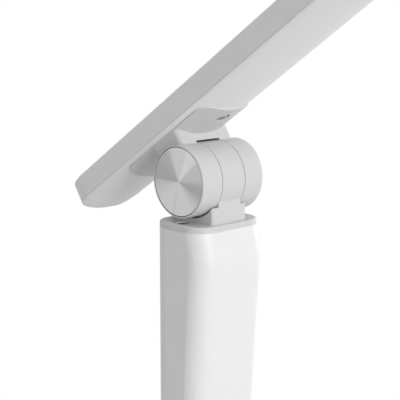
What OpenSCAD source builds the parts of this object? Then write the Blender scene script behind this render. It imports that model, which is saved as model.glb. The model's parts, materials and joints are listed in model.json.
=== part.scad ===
// Folding LED desk lamp: weighted base, waisted stem, long light head, and two friction drum hinges.
// Millimetres. +Z is up, +X is the way the light head reaches, the hinge axes run along Y.
// The origin is on the standing surface, straight under the stem.

/* [Drum hinges] */
// Radius of the hinge drums
drum_r = 16; // [15.5:0.1:17]
// Length of the middle drum, which belongs to the stem
core_w = 13.5; // [12.5:0.1:14.5]
// Length of each side drum, which belongs to a yoke
side_w = 11.3; // [11:0.1:13]
// Gap between the middle drum and each side drum
drum_gap = 0.3; // [0.2:0.05:0.5]
// Rounding of a side drum's outer rim
drum_edge = 0.7; // [0.4:0.1:0.9]
// Radius of the spun end discs
disc_r = 15.2; // [14.5:0.1:15.2]
// Thickness of the spun end discs
disc_t = 1.3; // [1:0.1:1.6]
// How far an end disc lies below the rim
disc_sink = 0.25; // [0.1:0.05:0.4]
// Radius of the hinge bolt's shank
axle_r = 4; // [3.5:0.1:4.3]
// Running clearance between the bolt and the bush
axle_play = 0.05; // [0.03:0.01:0.08]
// Wall of the bush pressed into the middle drum
bush_wall = 1.2; // [1:0.1:1.5]
// Thickness of the solid web in each side drum
web_t = 4.6; // [4.4:0.1:5]
// Radius of the fastener well in each side drum
well_r = 10.5; // [10:0.1:11]
// Play of a bolt shank in its through hole
hole_play = 0.15; // [0.1:0.05:0.25]

/* [Yokes] */
// Thickness of a yoke neck, along the reach
neck_t = 18.2; // [17:0.2:19]
// Width of a yoke neck, along the hinge axis
neck_w = 31.2; // [30:0.2:32]
// Rounding of the neck's standing edges
neck_edge = 2.4; // [1.5:0.1:3]
// Gap between a neck and the middle drum under it
saddle_gap = 0.9; // [0.7:0.1:1.2]
// Distance from the hinge axis to the crest of the head saddle
saddle_rise = 17.3; // [17.1:0.1:17.5]
// Length of the saddle plate under the head
saddle_l = 62; // [60:1:66]
// How far the saddle plate's middle lies behind the hinge axis
saddle_behind = 1.2; // [0:0.1:1.6]
// Corner radius of the saddle plate
saddle_corner = 6.4; // [5:0.2:8]
// Radius of the crowned face of the saddle plate
saddle_crown_r = 33; // [31:0.5:36]
// Distance from the hinge axis to the base's top face
base_yoke_rise = 17.6; // [17.3:0.1:19]

/* [Stem] */
// Distance between the two hinge axes
stem_span = 300; // [295:1:330]
// Depth of the stem's section, along the reach
stem_x = 31; // [29:0.5:32]
// Width of the stem's section, along the hinge axis
stem_y = 41; // [38:0.5:44]
// Corner radius of the stem's section
stem_corner = 9.8; // [8.5:0.1:10.5]
// Wall of the stem tube
stem_wall = 1.8; // [1.4:0.1:2.2]
// How far the front face swells below each cap
front_swell = 2.5; // [1:0.1:2.8]
// Length over which the front face swells
swell_l = 16; // [10:1:20]
// How far the front face draws in at mid height
front_waist = 3.4; // [0:0.1:4]
// Distance from a hinge axis to the cap plate
cap_drop = 18.4; // [18:0.1:19]
// Thickness of a cap plate
cap_t = 2.8; // [2.4:0.1:3.4]
// Rounding of a cap plate's edge
cap_edge = 0.9; // [0.5:0.1:1.2]
// Depth of the lug between cap plate and drum, along the reach
lug_t = 26.6; // [25:0.2:28]
// Width of the lug, along the hinge axis
lug_w = 20.8; // [20:0.2:22]
// Rounding of the lug's standing edges
lug_edge = 1.4; // [1:0.1:2]
// Distance from the hinge axis to the lug's shoulders
shoulder_drop = 11; // [10.5:0.1:12]
// Distance of the cap screws from the middle
cap_screw_y = 15.6; // [15:0.1:16]

/* [Light head] */
// Angle of the light head above the level at rest
head_pitch = 33.9; // [20:0.1:45]
// Width of the light head
head_w = 35.2; // [34:0.2:38]
// Distance from the hinge axis to the head's top face
head_top = 34.3; // [33.5:0.1:36]
// Distance from the hinge axis to the seam between housing and cover
head_seam = 23.6; // [23.4:0.1:24.4]
// Distance from the hinge axis to the crest of the cover
belly_rise = 18.7; // [18.3:0.1:19]
// Length over which the cover's belly closes at each end
belly_end = 6.5; // [5:0.1:9]
// Length of the head behind the hinge axis
tail_l = 73; // [68:1:80]
// Corner radius of the head's outline
head_corner = 8.8; // [7.5:0.1:10]
// Angle of the flat facet that leads into each corner of the head
facet_angle = 12; // [8:1:16]
// Length of that facet
facet_l = 4; // [3:0.5:6]
// Rounding of the head's upper edge
head_edge = 1.3; // [0.8:0.1:1.6]
// Wall of the housing and of the cover
head_wall = 1.8; // [1.5:0.1:2.2]
// Where the light window starts, from the hinge axis
window_s = 124; // [120:1:130]
// Length of the light window
window_l = 138; // [130:1:144]
// Distance from the light window to the head's tip
window_end = 10; // [8:1:16]
// Width of the light window
window_w = 24; // [22:0.5:26]

/* [Base] */
// Length of the base in front of the stem's axis
base_front = 115; // [108:1:130]
// Length of the base behind the stem's axis
base_back = 45; // [42:1:50]
// Width of the base
base_w = 124; // [118:1:140]
// Height of the base above the standing surface
base_h = 18; // [17:0.5:22]
// Corner radius of the base's outline
base_corner = 30; // [24:1:36]
// Rounding of the base's upper edge
base_edge = 4; // [2.5:0.5:5]
// Wall of the base shell
base_wall = 2.2; // [2:0.1:2.8]
// Thickness of the non-slip pad
pad_t = 1.2; // [1:0.1:1.6]
// Thickness of the steel bottom plate
plate_t = 1.6; // [1.4:0.1:2]
// Thickness of the counterweight
weight_t = 7; // [6:0.5:8]
// Radius of the push buttons
button_r = 6; // [5:0.5:7]
// Distance of each push button from the middle
button_y = 13; // [11:0.5:16]
// Push button travel
button_travel = 0.8; // [0.5:0.1:1]

/* [Hidden] */
$fn = 96;

white = [0.93, 0.93, 0.93];
light_grey = [0.84, 0.84, 0.83];
silver = [0.76, 0.76, 0.77];
steel = [0.62, 0.63, 0.65];
zinc = [0.70, 0.71, 0.72];
black_steel = [0.22, 0.22, 0.23];
rubber_grey = [0.36, 0.36, 0.37];
board_green = [0.12, 0.36, 0.22];
frost = [0.97, 0.97, 0.95];
led_yellow = [0.95, 0.87, 0.45];
lead_grey = [0.30, 0.30, 0.32];
polymer = [0.90, 0.89, 0.85];

eps = 0.01;                                   // overlap that makes a cut clean
seam = 0.1;                                   // open seam between two fixed pieces
fit = 0.1;                                    // clearance of an insert in its seat
seat = 0.02;                                  // gap between two flat faces that bear on each other
past = 1;                                     // how far a cutting body runs past the face it opens
head_play = 0.2;                              // radial play of a flat screw head in its seat

// hinge layout along the axis
side_in = core_w / 2 + drum_gap;              // inner face of a side drum
half_len = side_in + side_w;                  // outer face of a side drum
web_out = side_in + web_t;                    // outer face of a side drum's web
disc_in = half_len - disc_sink - disc_t;      // inner face of an end disc
bolt_head_r = 6.4;                            // across the corners of the hexagon
bolt_head_t = 3.2;
washer_t = 0.7;                               // one spring washer
washer_r = 7.2;
washer_dish = 0.15;                           // how far a washer is dished
washer_n = 2;
disc_bevel = 0.2;                             // broken edge of an end disc
disc_hollow = 0.15;                           // depth of the cone turned into an end disc
nut_r = 6.6;
nut_t = 2.9;
nut_in = web_out + washer_n * washer_t;       // inner face of the nut
bolt_end = nut_in + nut_t;                    // end of the bolt's shank, flush with the nut
bolt_bore_r = 1.6;                            // drilling for weight, closed at the head

// hinge stop: a pin in the middle drum runs in an arc groove of a side drum
stop_track_r = 12.6;                          // radius of the track about the hinge axis
stop_pin_r = 1.25;
stop_pin_out = 2.6;                           // how far the pin stands out of the middle drum
stop_pin_seat = 4;                            // how deep the pin is seated in the middle drum
stop_groove_r = stop_pin_r + 0.35;
stop_groove_d = stop_pin_out - drum_gap + 0.4;
head_up = 54;                                 // travel of the head from rest to upright, degrees
head_fold = 120;                              // travel of the head from rest to folded, degrees
stem_back = 15;                               // travel of the stem backwards, degrees
stem_forward = 40;                            // travel of the stem forwards, degrees
stop_slack = asin(stop_pin_r / stop_track_r) + 1.5;  // degrees of groove past each limit

// lead channel: an annular chamber in the middle drum round the bush
chamber_out = 11.6;
chamber_in = 6.6;
chamber_d = 5;
lead_r = 1.2;
lead_bend = 2.2;                              // rounding of a lead's route at its corners
lead_n = 10;                                  // sides of a lead
lead_side = [0.5, 0.62, 0.6];                 // direction that no lead runs along, to set its section by
lead_hole_r = lead_r + 0.5;
lead_track_r = (chamber_out + chamber_in) / 2;
loop_y = -core_w / 2 + chamber_d - lead_r - 0.4;  // middle of the part loop in the chamber
foot_loop = 150;                              // part loops of the stem's lead, degrees
knuckle_loop = 200;
lead_end_y = -core_w / 2 + 1.6;               // how far a yoke's lead reaches into the chamber
web_mid = side_in + web_t / 2;                // middle of a side drum's web

// heights
plate_z = pad_t;
weight_z = plate_z + plate_t;
base_axis_z = base_h + base_yoke_rise;
head_axis_z = base_axis_z + stem_span;
cap_low = cap_drop + cap_t;                   // hinge axis to the cap's inner face
tube_l = stem_span - 2 * cap_low;             // length of the stem tube

// stem spine
screw_r = 1.5;                                // shank of the M3 screws
screw_head_r = 2.8;
screw_head_t = 1.7;
cross_l = 3.1;                                // cross recess of a screw head
cross_w = 0.6;
cross_d = 0.8;
thread_play = 0.03;                           // a threaded hole is drawn this much over its screw's radius
thread_r = screw_r + thread_play;
port_r = 2.9;
web_x = 2;                                    // thickness of the spine's web
spine_depth = 9;                              // from the screw ports back to the spine's web
spigot_d = 5;                                 // depth of a cap's spigot inside the tube
spigot_wall = 2;
spigot_corner = 3;
spine_grip = 10;                              // length of a cap screw in the spine
spine_l = tube_l - 2 * spigot_d;

// saddle and bracket
saddle_w = neck_w;                            // the plate is as wide as the neck
saddle_back = head_seam - 0.4;                // flat back face of the saddle plate
saddle_screw_s = saddle_l / 2 - 8.6;          // distance of the saddle screws from the axis
saddle_cbore_r = 3.3;
saddle_cbore_d = 1.6;
bracket_z = saddle_back + seat;               // lower face of the bracket
bracket_screw_s = saddle_l / 2 + saddle_behind + screw_head_r + 2;  // clear of the saddle plate
bracket_end = 5;                              // from a bracket screw to the bracket's end
bracket_t = 1.6;
bracket_l = 2 * (bracket_screw_s + bracket_end);
bracket_corner = 4;
bracket_grip = 5;                             // length of a bracket screw in its boss
low_head_t = 1.3;                             // low head of a bracket screw, over the cover
flange_l = bracket_l * 2 / 3;
flange_t = 1.4;
flange_h = 4.5;
collar_r = 3;
collar_h = 3;
bracket_w = 27;
bracket_screw_y = 9.6;
housing_boss_r = 3.6;

// head outline
reach_l = window_s + window_l + window_end;   // length of the head in front of the hinge axis

// head cover loft
head_hw = head_w / 2;
cover_rim = 0.2;                              // height of the cover's upright rim
belly_h = head_seam - seam - cover_rim - belly_rise;
belly_power = 1.75;                           // the belly's section: its fullness at the crest,
belly_round = 1.5;                            // and its roundness at the rim
belly_steps = [1, 0.995, 0.98, 0.955, 0.92, 0.87, 0.8, 0.71, 0.6, 0.47, 0.33, 0.18];
tongue_out = head_hw - head_wall - fit;       // the cover's tongue inside the housing
tongue_in = tongue_out - 1;
tongue_h = 2;
loft_n = 9;                                   // segments of each corner arc
facet_n = 2;                                  // segments of the arc between a side and a facet
edge_n = 6;                                   // segments of the housing's rounded upper edge

// light engine
window_corner = 5;
engine_s = window_s + window_l / 2;           // middle of the light window
board_t = 1.2;
board_w = 12;
spreader_t = 1.5;
chip_n = 22;
chip_l = 3.5;
chip_w = 2.8;
chip_t = 0.7;
ceiling = head_top - head_wall;               // inner face of the housing's top
spreader_top = ceiling - 1.2;
rib_in = 6;                                   // from an end to the rib nearest to it
spreader_ribs = 5;
rib_step = (window_l - 2 * rib_in) / (spreader_ribs - 1);
spreader_w = 26;
spreader_end = 4;                             // how far the spreader runs past the window
board_end = 6;                                // how far the light board runs past the window
chip_row_y = 2.6;                             // the two rows of chips, from the board's middle line
chip_end = 6;                                 // from an end of the window to the nearest chip
chip_step = (window_l - 2 * chip_end - chip_l) / (chip_n - 1);
chip_z = spreader_top - spreader_t - seat - board_t;  // lower face of the light board
diffuser_t = 1.6;
trough_in = 1.2;                              // from the window's edge to the reflector's
trough_wall = 0.8;
trough_low = cover_t(window_w / 2) + diffuser_t + fit;
head_rib_t = 1.2;
head_rib_h = 2.5;

// base inside
base_l = base_front + base_back;
base_mid = (base_front - base_back) / 2;
base_ceiling = base_h - base_wall;            // inner face of the shell's top
rib_t = 1.6;
rib_h = 2;
yoke_foot_t = 4;
yoke_foot_l = 38;
yoke_foot_w = 46;
yoke_foot_corner = 4;
yoke_foot_z = base_ceiling - yoke_foot_t - seat;
yoke_leg_r = 3.4;
yoke_screw_x = yoke_foot_l / 2 - 5;
yoke_screw_y = yoke_foot_w / 2 - 4.5;
pad_inset = 3;                                // from the base's outline to the foot pad's
flat_head_t = 0.85;                           // flat screw head in the bottom plate
plate_screw_l = 8;
weight_screw_l = 5;
base_boss_r = 4;
base_boss_in = 20;                            // from the base's sides to the shell's bosses
base_boss_x = base_l / 2 - base_boss_in;
base_boss_y = base_w / 2 - base_boss_in;
weight_x0 = yoke_foot_l / 2 + 5;
weight_x1 = base_front - base_boss_in - base_boss_r - 2;
weight_w = base_w - 36;
weight_corner = 6;
weight_screw_in = 10;                         // from the weight's sides to its screws
weight_top = weight_z + weight_t;
button_x = base_front - 26;
button_top = 0.9;                             // how proud of the shell a button stands
button_edge = 0.8;
pcb_t = 1.6;
pcb_z = weight_top + 0.6;
pcb_x0 = 44;
pcb_x1 = base_front - 14;
pcb_w = 44;
pcb_parts_x = 12;                             // row of parts on the control board, from its end
post_in = 4.5;                                // from the board's sides to the posts
post_r = 2.4;                                 // board posts and their pegs
peg_r = 1;
peg_out = 0.8;
button_play = 0.25;                           // play of a button in the shell's top
switch_gap_top = 0.2;                         // between a button's flange and the shell at rest
button_flange_t = 1.2;
button_flange_r = button_r + 1.2;
button_foot = base_ceiling - button_flange_t - switch_gap_top;  // underside of a button at rest
switch_gap = 0.2;                             // left between button and switch at full travel
switch_h = button_foot - button_travel - switch_gap - pcb_z - pcb_t;
switch_l = 6;
plunger_r = 1.6;
plunger_out = 0.4;
inlet_w = 9;
inlet_h = 3.3;
inlet_d = 7.4;
inlet_in = 0.4;                               // how far the inlet's mouth lies inside the back face
inlet_sheet = 0.3;
inlet_lip = 1.1;                              // how far the inlet's tongue lies inside its mouth
tongue_w = 6.6;
tongue_t = 0.7;
inlet_y = 0;
inlet_z = plate_z + plate_t + 4.4;
inlet_board_x = -base_back + base_wall + inlet_in;
inlet_board_l = 14;
inlet_board_w = 16;
inlet_board_z = inlet_z - inlet_h / 2 - pcb_t;
inlet_screw_y = 5.8;
inlet_boss_r = 2.2;
small_screw_r = 1;
small_screw_l = 6.6;
small_head_r = 1.9;
small_head_t = 0.9;

// ---------------------------------------------------------------- shared shapes

// flat outline, lx by ly, with round corners
module round_rect(lx, ly, r) {
    square([lx - 2 * r, ly], center = true);
    square([lx, ly - 2 * r], center = true);
    for (x = [-1, 1], y = [-1, 1]) translate([x * (lx / 2 - r), y * (ly / 2 - r)]) circle(r);
}

// half profile of a slab's edge: radius r, height h, upper edge rounded by f
module edge_profile(r, h, f) {
    square([r, h - f]);
    square([r - f, h]);
    intersection() {
        translate([r - f, h - f]) circle(f);
        square([r, h]);
    }
}

// prism on z = 0 with a rounded upper edge; its outline runs at distance r round a convex polygon,
// whose points go anticlockwise
module soft_prism(points, r, h, f) {
    n = len(points);
    for (k = [0:n - 1]) {
        here = points[k];
        next = points[(k + 1) % n];
        start = toward(points[(k + n - 1) % n], here) - 90;
        turn = (toward(here, next) - 90 - start + 360) % 360;
        translate(here) rotate([0, 0, start]) rotate_extrude(angle = turn) edge_profile(r, h, f);
        translate(next) rotate([0, 0, toward(next, here)]) rotate([90, 0, 90])
            linear_extrude(norm(next - here)) edge_profile(r, h, f);
    }
    linear_extrude(h) polygon(points);
}

// direction from one point to another, in degrees
function toward(a, b) = atan2(b.y - a.y, b.x - a.x);

// slab with round corners and a rounded upper edge, standing on z = 0
module soft_slab(lx, ly, r, h, f) {
    x = lx / 2 - r;
    y = ly / 2 - r;
    soft_prism([[-x, -y], [x, -y], [x, y], [-x, y]], r, h, f);
}

// points of a round-cornered outline from x0 to x1, half width hy, at height z
function outline(x0, x1, hy, r, z, n) = [
    for (c = [[x1 - r, hy - r, 0], [x0 + r, hy - r, 90], [x0 + r, r - hy, 180], [x1 - r, r - hy, 270]])
        for (k = [0:n])
            let (a = c[2] + 90 * k / n)
            [c[0] + r * cos(a), c[1] + r * sin(a), z]
];

// closed solid through a stack of outlines with equal point counts, lowest ring first
module loft(rings) {
    m = len(rings[0]);
    top = (len(rings) - 1) * m;
    polyhedron(
        points = [for (ring = rings) for (p = ring) p],
        faces = concat(
            [[for (k = [0:m - 1]) k]],
            [for (i = [0:len(rings) - 2]) for (k = [0:m - 1])
                let (a = i * m + k, b = i * m + (k + 1) % m)
                    each [[a, a + m, b], [b, a + m, b + m]]],
            [[for (k = [m - 1:-1:0]) top + k]]
        )
    );
}

// cylinder along Y from y0 to y1
module y_cyl(r, y0, y1) {
    translate([0, y0, 0]) rotate([-90, 0, 0]) cylinder(r = r, h = y1 - y0);
}

// sheet screw or machine screw with a domed head, head upwards, head's seat at z = 0
module screw(l, r = screw_r, head_r = screw_head_r, head_t = screw_head_t) {
    dome_r = 1.6 * head_r;
    translate([0, 0, -l]) cylinder(r = r, h = l + eps);
    difference() {
        intersection() {
            cylinder(r = head_r, h = head_t);
            translate([0, 0, head_t - dome_r]) sphere(r = dome_r);
        }
        for (a = [0, 90]) rotate([0, 0, a])
            translate([-cross_l / 2, -cross_w / 2, head_t - cross_d])
                cube([cross_l, cross_w, cross_d + past]);
    }
}

function unit(v) = v / norm(v);

// route of a lead: the points given, each inner corner rounded by up to bend
function lead_route(p, bend) = concat(
    [p[0]],
    [for (k = [1:len(p) - 2])
        let (before = p[k] - p[k - 1], after = p[k + 1] - p[k],
             cut = min(bend, norm(before) / 2.1, norm(after) / 2.1),
             from = p[k] - unit(before) * cut, to = p[k] + unit(after) * cut)
            for (u = [0:0.25:1]) from * pow(1 - u, 2) + p[k] * 2 * u * (1 - u) + to * pow(u, 2)],
    [p[len(p) - 1]]
);

// direction of a route at its point k
function heading(p, k) = unit(p[min(k + 1, len(p) - 1)] - p[max(k - 1, 0)]);

// round lead along a route through the points
module lead_run(points) {
    route = lead_route(points, lead_bend);
    loft([
        for (k = [0:len(route) - 1])
            let (ahead = heading(route, k), side = unit(cross(ahead, lead_side)), up = cross(ahead, side))
            [for (a = [0:360 / lead_n:359]) route[k] + lead_r * (side * cos(a) + up * sin(a))]
    ]);
}

// ---------------------------------------------------------------- drum hinge, axis along Y at the origin

// yoke, solid: two side drums and the neck that joins them; +Z points along the neck, up to height rise
module yoke_solid(rise) {
    for (m = [0, 1]) mirror([0, m, 0]) translate([0, side_in, 0]) rotate([-90, 0, 0])
        rotate_extrude() edge_profile(drum_r, side_w, drum_edge);
    linear_extrude(rise) round_rect(neck_t, neck_w, neck_edge);
}

// what is cut from a yoke: slot for the middle drum, disc seats, fastener wells, bolt holes, lead hole
module yoke_cuts(rise) {
    y_cyl(drum_r + saddle_gap, -side_in, side_in);
    for (m = [0, 1]) mirror([0, m, 0]) {
        y_cyl(disc_r + fit, disc_in, half_len + past);
        y_cyl(well_r, web_out, disc_in + eps);
        y_cyl(axle_r + hole_play, side_in - past, web_out + past);
    }
    translate([0, 0, lead_track_r]) y_cyl(lead_hole_r, -web_mid, -side_in + past);
    translate([0, -web_mid, lead_track_r - lead_hole_r]) cylinder(r = lead_hole_r, h = rise);
}

// arc groove for the stop pin in the +Y web; angles are turned about +Y from +Z
module stop_groove(from, to) {
    rotate([0, from, 0]) translate([0, side_in - eps, 0]) rotate([-90, 0, 0]) rotate([0, 0, -90])
        rotate_extrude(angle = to - from) translate([stop_track_r - stop_groove_r, 0])
            square([2 * stop_groove_r, stop_groove_d]);
}

// knuckle: middle drum, lug with saddles for the side drums, cap plate and spigot; the lug points to -Z
module knuckle_body() {
    difference() {
        union() {
            y_cyl(drum_r, -core_w / 2, core_w / 2);
            difference() {
                translate([-lug_t / 2, -core_w / 2, -cap_drop - eps]) cube([lug_t, core_w, cap_drop]);
                y_cyl(drum_r - past, -core_w, core_w);
            }
            difference() {
                translate([0, 0, -cap_drop - eps]) linear_extrude(cap_drop - shoulder_drop)
                    round_rect(lug_t, lug_w, lug_edge);
                for (m = [0, 1]) mirror([0, m, 0]) y_cyl(drum_r + saddle_gap, core_w / 2, lug_w);
            }
            translate([0, 0, -cap_low]) soft_slab(stem_x, stem_y, stem_corner, cap_t, cap_edge);
            spigot();
        }
        y_cyl(axle_r + axle_play + bush_wall, -core_w, core_w);
        // lead chamber, open to the -Y face, and the lead's way down into the stem
        difference() {
            y_cyl(chamber_out, -core_w, -core_w / 2 + chamber_d);
            y_cyl(chamber_in, -core_w, core_w);
        }
        translate([0, loop_y, -cap_low - spigot_d - past])
            cylinder(r = lead_hole_r, h = cap_low + spigot_d + past - lead_track_r);
        pin_seat();
        for (y = [-1, 1]) translate([0, y * cap_screw_y, 0]) {
            translate([0, 0, -cap_low - spigot_d - past])
                cylinder(r = screw_r + hole_play, h = spigot_d + cap_t + 2 * past);
            translate([0, 0, -cap_drop - screw_head_t])
                cylinder(r = screw_head_r + 2 * head_play, h = screw_head_t + past);
        }
    }
}

// press seat of the stop pin, straight below the axis in the +Y face of the middle drum
module pin_seat() {
    translate([0, 0, -stop_track_r]) y_cyl(stop_pin_r, core_w / 2 - stop_pin_seat, core_w / 2 + past);
}

// hollow spigot that centres a cap in the stem tube
module spigot() {
    inset = 2 * (stem_wall + fit);
    translate([0, 0, -cap_low - spigot_d]) difference() {
        linear_extrude(spigot_d + eps) round_rect(stem_x - inset, stem_y - inset, stem_corner - inset / 2);
        translate([0, 0, -past]) linear_extrude(spigot_d)
            round_rect(stem_x - inset - 2 * spigot_wall, 2 * (cap_screw_y - port_r), spigot_corner);
    }
}

// flanged bush pressed into the middle drum
module bush() {
    difference() {
        y_cyl(axle_r + axle_play + bush_wall, -core_w / 2, core_w / 2);
        y_cyl(axle_r + axle_play, -core_w, core_w);
    }
}

module stop_pin() {
    translate([0, 0, -stop_track_r])
        y_cyl(stop_pin_r, core_w / 2 - stop_pin_seat, core_w / 2 + stop_pin_out);
}

// hinge bolt: hexagon head in the -Y well, shank through both webs and the bush
module hinge_bolt() {
    difference() {
        union() {
            y_cyl(axle_r, -web_out - eps, bolt_end);
            translate([0, -web_out, 0]) rotate([90, 0, 0])
                cylinder(r = bolt_head_r, h = bolt_head_t, $fn = 6);
        }
        y_cyl(bolt_bore_r, 0, bolt_end + past);
    }
}

module hinge_nut() {
    difference() {
        translate([0, nut_in, 0]) rotate([-90, 0, 0]) cylinder(r = nut_r, h = nut_t, $fn = 6);
        y_cyl(axle_r, nut_in - past, bolt_end + past);
    }
}

// dished spring washers, stacked face to face
module spring_washers() {
    hole_r = axle_r + hole_play;
    for (k = [0:washer_n - 1]) translate([0, web_out + k * washer_t, 0]) rotate([-90, 0, 0])
        rotate_extrude() polygon([
            [hole_r, washer_dish],
            [washer_r, 0],
            [washer_r, washer_t - washer_dish],
            [hole_r, washer_t]
        ]);
}

// spun end discs with a shallow turned cone
module end_discs() {
    for (m = [0, 1]) mirror([0, m, 0]) translate([0, disc_in, 0]) rotate([-90, 0, 0])
        rotate_extrude() polygon([
            [0, 0],
            [disc_r, 0],
            [disc_r, disc_t - disc_bevel],
            [disc_r - disc_bevel, disc_t],
            [0, disc_t - disc_hollow]
        ]);
}

// part loop of a lead in the chamber, from straight below the axis round to the side
module lead_loop(angle) {
    rotate([0, 180, 0]) translate([0, loop_y, 0]) rotate([-90, 0, 0]) rotate([0, 0, -90])
        rotate_extrude(angle = angle) translate([lead_track_r, 0]) circle(lead_r, $fn = 24);
}

// ---------------------------------------------------------------- placing

module at_head_axis() { translate([0, 0, head_axis_z]) children(); }
module at_base_axis() { translate([0, 0, base_axis_z]) children(); }
// head frame: X runs along the head, Z away from the hinge axis towards the head's top
module in_head() { at_head_axis() rotate([0, -head_pitch, 0]) children(); }
// base yoke frame: Z points down from the base hinge axis
module in_base_yoke() { at_base_axis() rotate([0, 180, 0]) children(); }
// lower knuckle frame: the stem side points up
module in_stem_foot() { at_base_axis() rotate([0, 180, 0]) children(); }
// tube frame: z = 0 at the lower cap's inner face
module in_tube() { translate([0, 0, base_axis_z + cap_low]) children(); }

// ---------------------------------------------------------------- base

module foot_pad() color(rubber_grey)
    translate([base_mid, 0, 0]) linear_extrude(pad_t)
        round_rect(base_l - 2 * pad_inset, base_w - 2 * pad_inset, base_corner - pad_inset);

module plate_outline() {
    inset = base_wall + fit;
    round_rect(base_l - 2 * inset, base_w - 2 * inset, base_corner - inset);
}

module at_base_bosses() {
    for (x = [-1, 1], y = [-1, 1]) translate([base_mid + x * base_boss_x, y * base_boss_y, 0]) children();
}

module at_yoke_screws() {
    for (x = [-1, 1], y = [-1, 1]) translate([x * yoke_screw_x, y * yoke_screw_y, 0]) children();
}

module at_weight_screws() {
    for (x = [weight_x0 + weight_screw_in, weight_x1 - weight_screw_in], y = [-1, 1])
        translate([x, y * (weight_w / 2 - weight_screw_in), 0]) children();
}

module base_plate() color(steel) difference() {
    translate([base_mid, 0, plate_z]) linear_extrude(plate_t) plate_outline();
    at_base_bosses() plate_screw_hole();
    at_yoke_screws() plate_screw_hole();
    at_weight_screws() plate_screw_hole();
}

module plate_screw_hole() {
    cylinder(r = screw_r + hole_play, h = base_h);
    cylinder(r = screw_head_r + head_play, h = plate_z + flat_head_t + seat);
}

// flat-headed screws let into the bottom plate, pointing up
module plate_screw(l) {
    translate([0, 0, plate_z + seat]) cylinder(r = screw_head_r, h = flat_head_t);
    translate([0, 0, plate_z + seat + flat_head_t - eps]) cylinder(r = screw_r, h = l);
}

module base_screws() color(black_steel) at_base_bosses() plate_screw(plate_screw_l);
module base_yoke_screws() color(black_steel) at_yoke_screws() plate_screw(plate_screw_l);
module counterweight_screws() color(black_steel) at_weight_screws() plate_screw(weight_screw_l);

module counterweight() color(black_steel) difference() {
    translate([(weight_x0 + weight_x1) / 2, 0, weight_z])
        linear_extrude(weight_t) round_rect(weight_x1 - weight_x0, weight_w, weight_corner);
    at_weight_screws() translate([0, 0, weight_z - past]) cylinder(r = thread_r, h = weight_screw_l + past);
}

// inside of the base shell, from below up to the ceiling
module base_hollow() {
    translate([base_mid, 0, 0]) soft_slab(
        base_l - 2 * base_wall, base_w - 2 * base_wall, base_corner - base_wall,
        base_ceiling, base_edge - base_wall / 2
    );
}

module base_shell() color(white) difference() {
    union() {
        difference() {
            translate([base_mid, 0, plate_z])
                soft_slab(base_l, base_w, base_corner, base_h - plate_z, base_edge);
            base_hollow();
        }
        at_base_bosses() translate([0, 0, weight_z])
            cylinder(r = base_boss_r, h = base_ceiling - weight_z + eps);
        at_inlet_screws() translate([0, 0, inlet_board_z + pcb_t])
            cylinder(r = inlet_boss_r, h = base_ceiling - inlet_board_z - pcb_t + eps);
        // ribs beside the neck, under the top
        for (y = [-1, 1])
            translate([-base_back + rib_in, y * (neck_w / 2 + rib_in) - rib_t / 2, base_ceiling - rib_h])
                cube([base_back - yoke_foot_l / 2 - 2 * rib_in, rib_t, rib_h + eps]);
    }
    at_base_bosses() translate([0, 0, weight_z - past]) cylinder(r = thread_r, h = plate_screw_l + past);
    at_inlet_screws() translate([0, 0, inlet_board_z])
        cylinder(r = small_screw_r + thread_play, h = small_screw_l + past);
    linear_extrude(base_h + past) round_rect(neck_t + 2 * seam, neck_w + 2 * seam, neck_edge + seam);
    at_buttons() translate([0, 0, weight_top]) cylinder(r = button_r + button_play, h = base_h);
    // inlet slot in the back wall
    translate([-base_back - past, inlet_y, inlet_z]) rotate([90, 0, 90])
        linear_extrude(base_wall + 2 * past)
            round_rect(inlet_w + 2 * seam, inlet_h + 2 * seam, inlet_h / 2);
}

module at_buttons() {
    for (y = [-1, 1]) translate([button_x, y * button_y, 0]) children();
}

module control_board() color(board_green) {
    difference() {
        translate([pcb_x0, -pcb_w / 2, pcb_z]) cube([pcb_x1 - pcb_x0, pcb_w, pcb_t]);
        at_board_posts() cylinder(r = peg_r + fit, h = base_h);
    }
    // driver chip, coil and capacitor on the upper face
    translate([pcb_x0, 0, pcb_z + pcb_t]) {
        translate([pcb_parts_x, -8, 0]) cube([6, 6, 1]);
        translate([pcb_parts_x, 4, 0]) cube([7, 7, 2.4]);
        translate([2 * pcb_parts_x, 10, 0]) cylinder(r = 2.5, h = 2.6);
    }
}

module at_board_posts() {
    for (x = [pcb_x0 + post_in, pcb_x1 - 3 * post_in], y = [-1, 1])
        translate([x, y * (pcb_w / 2 - post_in), 0]) children();
}

// spacers with a peg that the control board is pushed onto
module board_posts() color(polymer) at_board_posts() translate([0, 0, weight_top]) {
    cylinder(r = post_r, h = pcb_z - weight_top);
    cylinder(r = peg_r, h = pcb_z - weight_top + pcb_t + peg_out);
}

module tact_switches() color(black_steel)
    at_buttons() translate([0, 0, pcb_z + pcb_t]) {
        translate([-switch_l / 2, -switch_l / 2, 0]) cube([switch_l, switch_l, switch_h - plunger_out]);
        cylinder(r = plunger_r, h = switch_h);
    }

// receptacle shell with its tongue, open to the back
module usb_inlet() color(steel) translate([-base_back + inlet_in, inlet_y, inlet_z]) rotate([90, 0, 90]) {
    difference() {
        inlet_block(0, inlet_d);
        translate([0, 0, -past]) inlet_block(inlet_sheet, inlet_d);
    }
    translate([-tongue_w / 2, -tongue_t / 2, inlet_lip]) cube([tongue_w, tongue_t, inlet_d - inlet_lip]);
}

module inlet_block(inset, l) {
    linear_extrude(l) round_rect(inlet_w - 2 * inset, inlet_h - 2 * inset, inlet_h / 2 - inset - eps);
}

module at_inlet_screws() {
    for (y = [-1, 1])
        translate([inlet_board_x + inlet_board_l - 3, inlet_y + y * inlet_screw_y, 0]) children();
}

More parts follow.
